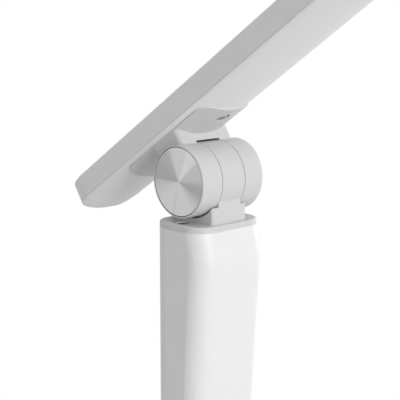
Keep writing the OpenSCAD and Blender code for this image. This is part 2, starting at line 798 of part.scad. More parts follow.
module inlet_board() color(board_green) {
    difference() {
        translate([inlet_board_x, inlet_y - inlet_board_w / 2, inlet_board_z])
            cube([inlet_board_l, inlet_board_w, pcb_t]);
        at_inlet_screws() cylinder(r = small_screw_r + hole_play, h = base_h);
    }
    // connector that the lead is soldered behind
    translate([inlet_board_x + inlet_d + pcb_t, inlet_y - 3, inlet_board_z + pcb_t]) cube([4, 6, 1.2]);
}

// small screws up into the shell's two bosses
module inlet_screws() color(steel) at_inlet_screws() translate([0, 0, inlet_board_z]) {
    translate([0, 0, -small_head_t]) cylinder(r = small_head_r, h = small_head_t);
    translate([0, 0, -eps]) cylinder(r = small_screw_r, h = small_screw_l);
}

module power_lead() color(lead_grey) {
    y = -weight_w / 2 + 4;
    plate_run_z = weight_z + lead_r + seam;
    weight_run_z = weight_top + lead_r + seam;
    lead_run([
        [inlet_board_x + inlet_board_l + lead_r + seam, inlet_y - 5, inlet_board_z + lead_r],
        [inlet_board_x + inlet_board_l + 4, inlet_y - 10, plate_run_z],
        [-18, y, plate_run_z],
        [weight_x0 - 10, y, plate_run_z],
        [weight_x0 - 2, y, weight_run_z],
        [pcb_x0 + 8, y, weight_run_z],
        [pcb_x0 + 8, -pcb_w / 2 - lead_r - fit, weight_run_z]
    ]);
}

module base_yoke() color(light_grey) difference() {
    union() {
        in_base_yoke() yoke_solid(base_yoke_rise + base_wall + past);
        translate([0, 0, yoke_foot_z]) linear_extrude(yoke_foot_t)
            round_rect(yoke_foot_l, yoke_foot_w, yoke_foot_corner);
        at_yoke_screws() translate([0, 0, weight_z])
            cylinder(r = yoke_leg_r, h = yoke_foot_z - weight_z + eps);
    }
    in_base_yoke() {
        yoke_cuts(base_yoke_rise + base_wall);
        stop_groove(180 - stem_back - stop_slack, 180 + stem_forward + stop_slack);
    }
    at_yoke_screws() translate([0, 0, weight_z - past])
        cylinder(r = thread_r, h = plate_screw_l + 2 * past);
}

module base_lead() color(lead_grey) {
    z = yoke_foot_z - lead_r - 1.2;
    lead_run([
        [0, lead_end_y, base_axis_z - lead_track_r],
        [0, -web_mid, base_axis_z - lead_track_r],
        [0, -web_mid, z],
        [yoke_foot_l / 2 - 5, -web_mid, z - 1],
        [weight_x0 - 2, -web_mid, weight_top + lead_r + seam],
        [pcb_x0 - lead_r - fit, -web_mid, weight_top + lead_r + seam]
    ]);
}

module base_end_discs() color(silver) in_base_yoke() end_discs();
module base_hinge_bolt() color(steel) in_base_yoke() hinge_bolt();
module base_hinge_nut() color(steel) in_base_yoke() hinge_nut();
module base_spring_washers() color(steel) in_base_yoke() spring_washers();

// push button with a rounded crown and a retaining flange
module button() {
    translate([0, 0, button_foot]) {
        rotate_extrude() edge_profile(button_r, base_h + button_top - button_foot, button_edge);
        cylinder(r = button_flange_r, h = button_flange_t);
    }
}
module power_button() color(silver) translate([button_x, -button_y, 0]) button();
module mode_button() color(silver) translate([button_x, button_y, 0]) button();

// ---------------------------------------------------------------- stem

// front face of the stem at distance d from the nearer cap
function front_face(d) = stem_x / 2 + (d < swell_l
    ? front_swell * sin(90 * d / swell_l)
    : (front_swell + front_waist) * pow(1 - (d - swell_l) / (tube_l / 2 - swell_l), 1.6) - front_waist);

// distances from a cap at which the tube's section is drawn, up to mid height
half_stations = concat(
    [for (k = [0:5]) swell_l * k / 5],
    [for (k = [1:8]) swell_l + (tube_l / 2 - swell_l) * pow(k / 8, 1.3)]
);
mid_station = len(half_stations) - 1;

// rings of the tube, drawn in by wall, and run past the ends by over
function tube_rings(wall, over) = [
    for (k = [0:2 * mid_station])
        let (upper = k > mid_station, d = half_stations[upper ? 2 * mid_station - k : k],
             z = upper ? tube_l - d : d, more = k == 0 ? -over : k == 2 * mid_station ? over : 0)
        outline(
            -stem_x / 2 + wall, front_face(d) - wall, stem_y / 2 - wall, stem_corner - wall,
            z + more, loft_n
        )
];

module stem_shell() color(white) in_tube() difference() {
    loft(tube_rings(0, 0));
    loft(tube_rings(stem_wall, past));
}

// extruded spine: back web, two side arms and the screw ports
module stem_spine() color(zinc) in_tube() translate([0, 0, spigot_d]) linear_extrude(spine_l) difference() {
    union() {
        translate([-spine_depth, -cap_screw_y - web_x / 2]) square([web_x, 2 * cap_screw_y + web_x]);
        for (y = [-1, 1]) {
            translate([-spine_depth, y * cap_screw_y - web_x / 2]) square([spine_depth, web_x]);
            translate([0, y * cap_screw_y]) circle(port_r);
        }
    }
    for (y = [-1, 1]) translate([0, y * cap_screw_y]) circle(thread_r);
}

module stem_knuckle() color(light_grey) at_head_axis() knuckle_body();
module stem_foot() color(light_grey) in_stem_foot() knuckle_body();
module knuckle_bush() color(polymer) at_head_axis() bush();
module foot_bush() color(polymer) in_stem_foot() bush();
module knuckle_stop_pin() color(steel) at_head_axis() stop_pin();
module foot_stop_pin() color(steel) in_stem_foot() stop_pin();

module cap_screws() {
    for (y = [-1, 1]) translate([0, y * cap_screw_y, -cap_drop - screw_head_t])
        screw(cap_t - screw_head_t + spigot_d + spine_grip);
}
module knuckle_cap_screws() color(steel) at_head_axis() cap_screws();
module foot_cap_screws() color(steel) in_stem_foot() cap_screws();

// lead from the lower hinge chamber, up inside the spine, to the upper one
module stem_lead() color(lead_grey) {
    in_stem_foot() lead_loop(foot_loop);
    at_head_axis() lead_loop(knuckle_loop);
    lead_run([[0, loop_y, base_axis_z + lead_track_r], [0, loop_y, head_axis_z - lead_track_r]]);
}

// ---------------------------------------------------------------- light head, in the head frame

// outline of the saddle plate, grown all round
module saddle_plan(grow) {
    translate([-saddle_behind, 0])
        round_rect(saddle_l + 2 * grow, saddle_w + 2 * grow, saddle_corner + grow);
}

module head_yoke() color(light_grey) in_head() difference() {
    union() {
        yoke_solid(saddle_back - past);
        intersection() {
            linear_extrude(saddle_back) saddle_plan(0);
            translate([-saddle_l, 0, saddle_rise + saddle_crown_r]) rotate([0, 90, 0])
                cylinder(r = saddle_crown_r, h = 2 * saddle_l);
        }
    }
    yoke_cuts(saddle_back);
    stop_groove(180 + head_pitch - head_fold - stop_slack, 180 + head_pitch + head_up + stop_slack);
    at_saddle_screws() {
        cylinder(r = screw_r + hole_play, h = head_top);
        translate([0, 0, saddle_rise - past]) cylinder(r = saddle_cbore_r, h = past + saddle_cbore_d);
    }
}

module head_end_discs() color(silver) in_head() end_discs();
module head_hinge_bolt() color(steel) in_head() hinge_bolt();
module head_hinge_nut() color(steel) in_head() hinge_nut();
module head_spring_washers() color(steel) in_head() spring_washers();

module at_saddle_screws() {
    for (s = [-1, 1]) translate([s * saddle_screw_s, 0, 0]) children();
}

module saddle_screws() color(steel) in_head()
    at_saddle_screws() translate([0, 0, saddle_rise + saddle_cbore_d])
        mirror([0, 0, 1]) screw(bracket_z + bracket_t + collar_h + past - saddle_rise - saddle_cbore_d);

module at_bracket_screws() {
    for (s = [-1, 1], y = [-1, 1]) translate([s * bracket_screw_s, y * bracket_screw_y, 0]) children();
}

// pressed steel bracket: plate with turned-up side flanges and two threaded collars
module head_bracket() color(zinc) in_head() difference() {
    translate([0, 0, bracket_z]) {
        linear_extrude(bracket_t) round_rect(bracket_l, bracket_w, bracket_corner);
        for (m = [0, 1]) mirror([0, m, 0]) translate([-flange_l / 2, bracket_w / 2 - flange_t, 0])
            cube([flange_l, flange_t, flange_h]);
        at_saddle_screws() cylinder(r = collar_r, h = bracket_t + collar_h);
    }
    at_saddle_screws() translate([0, 0, saddle_back]) cylinder(r = thread_r, h = head_top - saddle_back);
    at_bracket_screws() cylinder(r = screw_r + hole_play, h = head_top);
    translate([0, -web_mid, saddle_back]) cylinder(r = lead_hole_r + hole_play, h = bracket_t + past);
}

// short screws from below through the bracket into the housing's bosses
module bracket_screws() color(black_steel) in_head()
    at_bracket_screws() translate([0, 0, bracket_z]) mirror([0, 0, 1])
        screw(bracket_t + bracket_grip, head_t = low_head_t);

// rib across the housing, hanging from its ceiling
module cross_rib(s, h) {
    translate([s - head_rib_t / 2, -head_w / 2 + head_wall - eps, ceiling - h])
        cube([head_rib_t, head_w - 2 * head_wall + 2 * eps, h + eps]);
}

// arcs of the head's outline, anticlockwise, as [centre x, centre y, from angle, to angle];
// x0 and x1 are its ends, hy its half width, r its corner radius and l the length of its facets
function head_arcs(x0, x1, hy, r, l) =
    let (
        side_y = hy - r,
        end_y = side_y - l * sin(facet_angle),
        back = x0 + r,
        front = x1 - r,
        along = l * cos(facet_angle)
    )
    [
        [front, end_y, 0, 90 - facet_angle],
        [front - along, side_y, 90 - facet_angle, 90],
        [back + along, side_y, 90, 90 + facet_angle],
        [back, end_y, 90 + facet_angle, 180],
        [back, -end_y, 180, 270 - facet_angle],
        [back + along, -side_y, 270 - facet_angle, 270],
        [front - along, -side_y, 270, 270 + facet_angle],
        [front, -end_y, 270 + facet_angle, 360]
    ];

// points along all of those arcs at radius r and height z
function along_arcs(arcs, r, z) = [
    for (arc = arcs)
        let (n = arc[3] - arc[2] > facet_angle + eps ? loft_n : facet_n)
        for (k = [0:n])
            let (a = arc[2] + (arc[3] - arc[2]) * k / n)
            [arc[0] + r * cos(a), arc[1] + r * sin(a), z]
];

// outer face of the housing, from the seam up to its rounded upper edge
function housing_ring(inset, z) =
    along_arcs(head_arcs(-tail_l, reach_l, head_hw, head_corner, facet_l), head_corner - inset, z);
housing_rings = concat(
    [housing_ring(0, head_seam)],
    [for (k = [0:edge_n])
        let (a = 90 * k / edge_n)
        housing_ring(head_edge * (1 - cos(a)), head_top - head_edge * (1 - sin(a)))]
);

// flat outline of the head, drawn in by inset
module head_plan(inset) {
    r = head_corner - inset;
    arcs = head_arcs(-tail_l, reach_l, head_hw, head_corner, facet_l);
    polygon([for (arc = arcs, a = [arc[2], arc[3]]) [arc[0] + r * cos(a), arc[1] + r * sin(a)]]);
    for (arc = arcs) translate([arc[0], arc[1]]) circle(r);
}

module head_housing() color(white) in_head() difference() {
    union() {
        difference() {
            loft(housing_rings);
            translate([0, 0, head_seam - past]) linear_extrude(ceiling - head_seam + past)
                head_plan(head_wall);
        }
        at_bracket_screws() translate([0, 0, bracket_z + bracket_t])
            cylinder(r = housing_boss_r, h = ceiling - bracket_z - bracket_t + eps);
        // cross ribs that carry the heat spreader and stiffen the long top
        for (k = [0:spreader_ribs - 1]) cross_rib(window_s + rib_in + k * rib_step, ceiling - spreader_top);
        for (s = [-tail_l + head_corner + rib_in, window_s / 2, window_s * 3 / 4]) cross_rib(s, head_rib_h);
    }
    at_bracket_screws() translate([0, 0, saddle_back])
        cylinder(r = thread_r, h = bracket_t + bracket_grip + past);
}

// outer face of the cover at distance v from its middle line
function cover_t(v) = belly_rise
    + belly_h * (1 - pow(max(1 - pow(v / head_hw, belly_power), 0), 1 / belly_round));

// the cover's ring at half width v, at height t; the ends close in by belly_end
function cover_ring(v, t) =
    let (u = v / head_hw, end_in = belly_end * (1 - u), r = head_corner * u)
    along_arcs(head_arcs(-tail_l + end_in, reach_l - end_in, v, r, facet_l * u), r, t);

// rings of the cover, moved up by lift, out to half width hw, closed upwards at height top
function cover_rings(hw, lift, top) = concat(
    [for (k = [len(belly_steps) - 1:-1:0])
        let (v = belly_steps[k] * hw) cover_ring(v, cover_t(v) + lift)],
    [cover_ring(hw, top)]
);

module window_prism(grow) {
    translate([engine_s, 0, 0]) linear_extrude(head_top)
        round_rect(window_l + 2 * grow, window_w + 2 * grow, window_corner + grow);
}

module head_cover() color(white) in_head() difference() {
    union() {
        loft(cover_rings(head_hw, 0, head_seam - seam));
        translate([0, 0, head_seam - seam - eps]) linear_extrude(tongue_h + seam)
            head_plan(head_hw - tongue_out);
    }
    loft(cover_rings(tongue_in, head_wall, head_top));
    linear_extrude(head_top) saddle_plan(seam);
    window_prism(0);
    at_bracket_screws() translate([0, 0, bracket_z - low_head_t - head_play])
        cylinder(r = screw_head_r + head_play, h = head_top);
}

module diffuser() color(frost) in_head() difference() {
    intersection() {
        loft(cover_rings(head_hw, 0, head_seam - seam));
        window_prism(-seam / 2);
    }
    loft(cover_rings(head_hw, diffuser_t, head_top));
}

// white trough between the light board and the diffuser
module trough_profile(grow, low, high) {
    low_hw = window_w / 2 - trough_in + grow;
    high_hw = board_w / 2 + trough_in / 2 + grow;
    polygon([[-low_hw, low], [low_hw, low], [high_hw, high], [-high_hw, high]]);
}
module reflector() color(white) in_head() translate([window_s + trough_in, 0, 0]) rotate([90, 0, 90])
    difference() {
        linear_extrude(window_l - 2 * trough_in) trough_profile(0, trough_low, chip_z - seat);
        translate([0, 0, trough_wall]) linear_extrude(window_l - 2 * trough_in - 2 * trough_wall)
            trough_profile(-trough_wall, trough_low - past, chip_z + past);
    }

module led_board() color(white) in_head()
    translate([window_s - board_end, -board_w / 2, chip_z])
        cube([window_l + 2 * board_end, board_w, board_t]);

module led_chips() color(led_yellow) in_head()
    for (k = [0:chip_n - 1], row = [-1, 1])
        translate([window_s + chip_end + k * chip_step, row * chip_row_y - chip_w / 2, chip_z - chip_t])
            cube([chip_l, chip_w, chip_t]);

module heat_spreader() color(zinc) in_head()
    translate([window_s - spreader_end, -spreader_w / 2, spreader_top - spreader_t])
        cube([window_l + 2 * spreader_end, spreader_w, spreader_t]);

module head_lead() color(lead_grey) in_head() {
    lead_t = head_seam + 3.6;
    lead_side_y = -(housing_boss_r + 1);      // between the saddle screws' collars and the bosses
    board_mid = chip_z + board_t / 2;
    lead_run([
        [0, lead_end_y, lead_track_r],
        [0, -web_mid, lead_track_r],
        [0, -web_mid, lead_t],
        [bracket_l / 6, lead_side_y, lead_t],
        [window_s - 20, lead_side_y, lead_t],
        [window_s - 12, -board_w / 4, board_mid],
        [window_s - board_end - lead_r, -board_w / 4, board_mid]
    ]);
}

foot_pad();
base_plate();
base_screws();
counterweight();
counterweight_screws();
base_shell();
control_board();
board_posts();
tact_switches();
usb_inlet();
inlet_board();
inlet_screws();
power_lead();
base_yoke();
base_yoke_screws();
base_end_discs();
base_hinge_bolt();
base_hinge_nut();
base_spring_washers();
base_lead();
power_button();
mode_button();
stem_foot();
foot_bush();
foot_stop_pin();
foot_cap_screws();
stem_shell();
stem_spine();
stem_lead();
stem_knuckle();
knuckle_bush();
knuckle_stop_pin();
knuckle_cap_screws();
head_yoke();
head_end_discs();
head_hinge_bolt();
head_hinge_nut();
head_spring_washers();
saddle_screws();
head_bracket();
bracket_screws();
head_housing();
head_cover();
diffuser();
reflector();
led_board();
led_chips();
heat_spreader();
head_lead();
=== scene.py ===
"""Finish, camera and light for the folding desk lamp.

Metres, in the lamp's own frame: +Z up, the light head reaches along +X, the hinge axes run along Y.
"""

import json
import math

import bpy
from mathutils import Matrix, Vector


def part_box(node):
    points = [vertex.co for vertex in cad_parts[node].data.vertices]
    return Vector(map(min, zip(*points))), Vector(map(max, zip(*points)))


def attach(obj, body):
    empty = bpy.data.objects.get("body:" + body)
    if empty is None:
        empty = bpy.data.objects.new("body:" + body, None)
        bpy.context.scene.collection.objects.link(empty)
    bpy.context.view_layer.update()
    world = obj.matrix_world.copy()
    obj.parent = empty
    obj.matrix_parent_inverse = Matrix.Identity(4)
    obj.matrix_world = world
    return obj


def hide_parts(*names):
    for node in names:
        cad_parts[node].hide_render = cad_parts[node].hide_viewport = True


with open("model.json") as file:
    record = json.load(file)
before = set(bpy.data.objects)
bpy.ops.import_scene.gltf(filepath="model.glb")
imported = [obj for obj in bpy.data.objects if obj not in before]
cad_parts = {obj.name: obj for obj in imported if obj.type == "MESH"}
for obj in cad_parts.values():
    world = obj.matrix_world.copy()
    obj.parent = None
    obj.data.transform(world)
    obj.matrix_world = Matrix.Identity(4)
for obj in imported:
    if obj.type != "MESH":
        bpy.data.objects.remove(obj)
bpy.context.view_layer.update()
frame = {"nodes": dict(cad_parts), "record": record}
MM = 0.001
WHITE = (1.0, 1.0, 1.0, 1.0)


def centre(node):
    """Middle of a CAD node's box."""
    low, high = (Vector(corner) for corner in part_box(node))
    return (low + high) / 2


HEAD_AXIS = centre("head_hinge_bolt")
BASE_AXIS = centre("base_hinge_bolt")
HEAD_PITCH = math.radians(33.9)               # slope of the light head at rest
ALONG_HEAD = Vector((math.cos(HEAD_PITCH), 0, math.sin(HEAD_PITCH)))

# ---------------------------------------------------------------- camera

CAMERA_FROM_HINGE = Vector((374.9, -366.1, 86.6)) * MM
CAMERA_AZIMUTH = math.radians(46.08)
CAMERA_ELEVATION = math.radians(10.47)
CAMERA_LENS = 108.3
CAMERA_SENSOR = 36
CAMERA_NEAR = 0.01


def add_camera():
    """A camera close to the upper hinge, a little above it and turned down to it."""
    data = bpy.data.cameras.new("desk_view")
    data.lens = CAMERA_LENS
    data.sensor_width = CAMERA_SENSOR
    data.clip_start = CAMERA_NEAR
    camera = bpy.data.objects.new("desk_view", data)
    bpy.context.collection.objects.link(camera)
    camera.location = Vector((0, 0, HEAD_AXIS.z)) + CAMERA_FROM_HINGE
    camera.rotation_euler = (math.pi / 2 - CAMERA_ELEVATION, 0, CAMERA_AZIMUTH)
    bpy.context.scene.camera = camera


# ---------------------------------------------------------------- writing a finish

# sockets that share their name with another one go by number
FIRST, SECOND = 0, 1                          # of a Vector Math node
MIX_FACTOR, MIX_LOW, MIX_HIGH, MIX_OUT = 0, 6, 7, 2   # of a Mix node for colours
SHADER_LOW, SHADER_HIGH = 1, 2                # of a Mix Shader node
NOISE_MIDDLE = 0.5


class Value:
    """A number that varies over a surface; an operator on it adds the Math node."""

    def __init__(self, wiring, socket):
        self.wiring = wiring
        self.socket = socket

    def __add__(self, other):
        return self.wiring.math("ADD", self, other)

    def __radd__(self, other):
        return self.wiring.math("ADD", other, self)

    def __sub__(self, other):
        return self.wiring.math("SUBTRACT", self, other)

    def __rsub__(self, other):
        return self.wiring.math("SUBTRACT", other, self)

    def __mul__(self, other):
        return self.wiring.math("MULTIPLY", self, other)

    def __rmul__(self, other):
        return self.wiring.math("MULTIPLY", other, self)

    def rise(self, start, end):
        """0 below start, 1 above end, with a soft step between them."""
        inputs = {"Value": self, "From Min": start, "From Max": end}
        node = self.wiring.node("ShaderNodeMapRange", {"interpolation_type": "SMOOTHSTEP"}, inputs)
        return Value(self.wiring, node.outputs["Result"])

    def clamp(self):
        """The same, held between 0 and 1."""
        return self.wiring.math("MINIMUM", self.wiring.math("MAXIMUM", self, 0), 1)


class Wiring:
    """Adds nodes to a material or to the world, and links them."""

    def __init__(self, owner):
        owner.use_nodes = True
        self.tree = owner.node_tree

    def plug(self, socket, value):
        """Links a node's output or a Value to a socket, or writes a number or a colour into it."""
        if isinstance(value, Value):
            value = value.socket
        if isinstance(value, bpy.types.NodeSocket):
            self.tree.links.new(value, socket)
        else:
            socket.default_value = value

    def node(self, kind, settings=None, inputs=None):
        """A node of that type, its settings made first, then its sockets by name or number."""
        node = self.tree.nodes.new(kind)
        for name, value in (settings or {}).items():
            setattr(node, name, value)
        for name, value in (inputs or {}).items():
            self.plug(node.inputs[name], value)
        return node

    def math(self, operation, *operands):
        """What a Math node makes of numbers and Values."""
        node = self.node("ShaderNodeMath", {"operation": operation}, dict(enumerate(operands)))
        return Value(self, node.outputs["Value"])

    def place(self):
        """Where a point of the surface lies in the lamp's frame."""
        return self.node("ShaderNodeTexCoord").outputs["Object"]

    def place_xyz(self):
        """The same, as three Values."""
        axes = self.node("ShaderNodeSeparateXYZ", None, {"Vector": self.place()})
        return tuple(Value(self, axes.outputs[axis]) for axis in "XYZ")

    def along_x(self, value):
        """A vector along X as long as the Value, for a pattern that varies with it alone."""
        return self.node("ShaderNodeCombineXYZ", None, {"X": value}).outputs["Vector"]

    def noise(self, size, detail, where=None):
        """Noise whose patches are about size across."""
        inputs = {"Vector": where or self.place(), "Scale": 1 / size, "Detail": detail}
        return Value(self, self.node("ShaderNodeTexNoise", None, inputs).outputs["Fac"])

    def between(self, factor, low, high):
        """A colour from low to high, each written out or put out by a node."""
        low, high = (end if isinstance(end, bpy.types.NodeSocket) else (*end, 1.0) for end in (low, high))
        inputs = {MIX_FACTOR: factor, MIX_LOW: low, MIX_HIGH: high}
        return self.node("ShaderNodeMix", {"data_type": "RGBA"}, inputs).outputs[MIX_OUT]


class Finish(Wiring):
    """A material on the Principled shader, and what is wired into it."""

    def __init__(self, name, color, roughness, metallic=0.0):
        self.material = bpy.data.materials.new(name)
        super().__init__(self.material)
        self.shader = self.tree.nodes["Principled BSDF"]
        self.set("Base Color", (*color, 1.0))
        self.set("Roughness", roughness)
        self.set("Metallic", metallic)

    def set(self, name, value):
        """A socket of the shader takes a number, a colour, or what a node puts out."""
        self.plug(self.shader.inputs[name], value)

    def bump(self, height, depth):
        """Relief that is depth deep where the height goes from 0 to 1."""
        inputs = {"Height": height, "Distance": depth}
        self.set("Normal", self.node("ShaderNodeBump", None, inputs).outputs["Normal"])


def shade(color, factor):
    """The same colour, darker or lighter."""
    return tuple(channel * factor for channel in color)


# ---------------------------------------------------------------- finishes


def moulded(name, color, roughness, texture=0.35 * MM, mottle=0.02):
    """Moulded plastic: a fine even texture, and faint cloudiness in colour and gloss."""
    cloud_size, cloud_gloss, depth = 24 * MM, 0.08, 0.004 * MM
    finish = Finish(name, color, roughness)
    cloud = finish.noise(cloud_size, detail=3)
    finish.set("Base Color", finish.between(cloud, shade(color, 1 - mottle), shade(color, 1 + mottle / 2)))
    finish.set("Roughness", roughness - cloud_gloss / 2 + cloud * cloud_gloss)
    finish.bump(finish.noise(texture, detail=4), depth)
    return finish.material


def machined(name, color, roughness):
    """Plated or machined metal: fine random marks and a slightly uneven gloss."""
    wear_size, wear_shade, wear_gloss, grain_size, depth = 3 * MM, 0.88, 0.14, 0.12 * MM, 0.01 * MM
    finish = Finish(name, color, roughness, metallic=1.0)
    wear = finish.noise(wear_size, detail=4)
    finish.set("Base Color", finish.between(wear, shade(color, wear_shade), color))
    finish.set("Roughness", roughness - wear_gloss / 2 + wear * wear_gloss)
    finish.bump(finish.noise(grain_size, detail=3), depth)
    return finish.material


def cast_iron(name, color):
    """Painted casting: coarse pitted skin with a few duller patches."""
    roughness, pit_size, pit_gloss, pit_depth = 0.5, 0.9 * MM, 0.1, 0.08 * MM
    patch_size, patch_from, patch_to, patch_gloss = 14 * MM, 0.45, 0.6, 0.2
    patch_low, patch_high = 0.8, 1.5
    finish = Finish(name, color, roughness)
    pits = finish.noise(pit_size, detail=5)
    patch = finish.noise(patch_size, detail=3).rise(patch_from, patch_to)
    finish.set("Base Color", finish.between(patch, shade(color, patch_low), shade(color, patch_high)))
    finish.set("Roughness", roughness + patch * patch_gloss + pits * pit_gloss)
    finish.bump(pits, pit_depth)
    return finish.material


def rubber(name, color):
    """Soft pad: matt and grainy, with traces of dust."""
    dust_size, dust_from, dust_to, dust_shade, dust_gloss = 9 * MM, 0.5, 0.75, 1.6, 0.16
    roughness, grain_size, depth = 0.72, 0.25 * MM, 0.03 * MM
    finish = Finish(name, color, roughness)
    dust = finish.noise(dust_size, detail=5).rise(dust_from, dust_to)
    finish.set("Base Color", finish.between(dust, color, shade(color, dust_shade)))
    finish.set("Roughness", roughness + dust * dust_gloss)
    finish.bump(finish.noise(grain_size, detail=3), depth)
    return finish.material


def drawn_metal(name, color, turn):
    """Sheet or bar: grain lines drawn out along X as turned, and a faintly uneven gloss."""
    grain_size, grain_squeeze, grain_shade, grain_gloss = 0.12 * MM, 0.03, 0.85, 0.1
    roughness, cloud_size, cloud_gloss, depth = 0.28, 12 * MM, 0.08, 0.004 * MM
    finish = Finish(name, color, roughness, metallic=1.0)
    turned = finish.node(
        "ShaderNodeVectorRotate", {"rotation_type": "EULER_XYZ", "invert": True},
        {"Vector": finish.place(), "Rotation": turn},
    ).outputs["Vector"]
    drawn = finish.node(
        "ShaderNodeVectorMath", {"operation": "MULTIPLY"},
        {FIRST: turned, SECOND: (grain_squeeze, 1, 1)},
    ).outputs["Vector"]
    grain = finish.noise(grain_size, detail=3, where=drawn)
    cloud = finish.noise(cloud_size, detail=2)
    finish.set("Base Color", finish.between(grain, shade(color, grain_shade), color))
    finish.set("Roughness", roughness + grain * grain_gloss + cloud * cloud_gloss)
    finish.bump(grain, depth)
    return finish.material


def circuit_board(name, color, track):
    """Laminate under lacquer: a grid of tracks, with a fine weave under them."""
    track_l, track_pitch, track_gap, track_depth = 5.5 * MM, 1.3 * MM, 0.18 * MM, 0.03 * MM
    roughness, weave_size, weave_gloss, weave_relief = 0.3, 0.5 * MM, 0.12, 0.15
    finish = Finish(name, color, roughness)
    tracks = finish.node(
        "ShaderNodeTexBrick", {"offset": 0.37, "squash": 0.6},
        {"Vector": finish.place(), "Scale": 1.0, "Mortar Size": track_gap, "Mortar Smooth": 0.1,
         "Brick Width": track_l, "Row Height": track_pitch},
    )
    copper = Value(finish, tracks.outputs["Fac"])
    weave = finish.noise(weave_size, detail=2)
    finish.set("Base Color", finish.between(copper, color, track))
    finish.set("Roughness", roughness + weave * weave_gloss)
    finish.bump(copper + weave * weave_relief, track_depth)
    return finish.material


def frosted(name, color):
    """Light window: satin, with fine waves along it and across it that make a grid of dimples."""
    wave_pitch, wave_depth = 1.2 * MM, 0.006 * MM
    roughness, cloud_size, cloud_shade, cloud_gloss = 0.4, 18 * MM, 0.97, 0.1
    finish = Finish(name, color, roughness)
    x, across, z = finish.place_xyz()
    along = x * ALONG_HEAD.x + z * ALONG_HEAD.z
    turns = math.tau / wave_pitch
    waves = finish.math("SINE", across * turns) + finish.math("SINE", along * turns)
    cloud = finish.noise(cloud_size, detail=3)
    finish.set("Base Color", finish.between(cloud, shade(color, cloud_shade), color))
    finish.set("Roughness", roughness + cloud * cloud_gloss)
    finish.bump(waves, wave_depth)
    return finish.material


def phosphor(name, color):
    """Cured resin over a chip: warm, glossy and speckled."""
    grain_size, grain_low, grain_high, grain_gloss = 0.2 * MM, 0.75, 1.15, 0.15
    roughness, depth = 0.2, 0.01 * MM
    finish = Finish(name, color, roughness)
    grain = finish.noise(grain_size, detail=4)
    finish.set("Base Color", finish.between(grain, shade(color, grain_low), shade(color, grain_high)))
    finish.set("Roughness", roughness + grain * grain_gloss)
    finish.bump(grain, depth)
    return finish.material


# painted highlight sectors on a turned face, in degrees about the axis: from, softness, to, softness, gain; a
# negative gain paints a darker sector
PAINTED_HIGHLIGHT_SECTORS = (
    (-2, 15, 140, 25, 0.16),
    (4, 14, 116, 8, 0.28),
    (41, 7, 70, 5, 0.44),
    (70, 5, 110, 7, 0.21),
    (-181, 4, -30, 16, 0.3),
    (-170, 10, -30, 16, 0.2),
    (-150, 20, -48, 10, 0.18),
    (-106, 3, -99, 3, -0.16),
)


def spun_metal(name, bright, dark, rim_shadow):
    """Face turned on a lathe: fine rings that lean a little in and out, with highlight sectors and sheen
    streaks painted into the base colour about the axis, and a painted shadow line at the rim.
    """
    ring_size, ring_shade, ring_gloss, ring_depth = 0.35 * MM, 0.2, 0.14, 0.004 * MM
    sheen_streak_degrees, sheen_streak_strength = 3.5, 0.32
    # the painted shadow line at the rim lies between these radii
    rim_shadow_from, rim_shadow_to = 14.85 * MM, 14.97 * MM
    roughness, even_glow = 0.24, 0.04
    finish = Finish(name, bright, roughness, metallic=1.0)
    x, _, z = finish.place_xyz()
    upper = finish.math("GREATER_THAN", z, (HEAD_AXIS.z + BASE_AXIS.z) / 2)
    across = x - (BASE_AXIS.x + upper * (HEAD_AXIS.x - BASE_AXIS.x))
    up = z - (BASE_AXIS.z + upper * (HEAD_AXIS.z - BASE_AXIS.z))
    turn = finish.math("ARCTAN2", up, across) * math.degrees(1)
    radius = finish.math("SQRT", across * across + up * up)
    glow = even_glow
    # painted highlight sectors: each adds its gain to the brightness of the base colour
    for start, start_soft, end, end_soft, gain in PAINTED_HIGHLIGHT_SECTORS:
        lit = turn.rise(start - start_soft, start + start_soft) - turn.rise(end - end_soft, end + end_soft)
        glow = glow + gain * lit
    ring = finish.noise(ring_size, detail=3, where=finish.along_x(radius))
    # painted sheen streaks along the turn, in the base colour
    painted_sheen_streak = finish.noise(sheen_streak_degrees, detail=2, where=finish.along_x(turn))
    glow = glow + (ring - NOISE_MIDDLE) * ring_shade + (painted_sheen_streak - NOISE_MIDDLE) * sheen_streak_strength
    face = finish.between(glow.clamp(), dark, bright)
    # painted shadow line at the rim: the base colour darkens where the gap beside the disc lies in shade
    finish.set("Base Color", finish.between(radius.rise(rim_shadow_from, rim_shadow_to), face, rim_shadow))
    finish.set("Roughness", roughness + ring * ring_gloss)
    finish.bump(ring, ring_depth)
    return finish.material


LEVEL = (0, 0, 0)                             # grain along X
UPRIGHT = (0, math.pi / 2, 0)                 # grain along Z

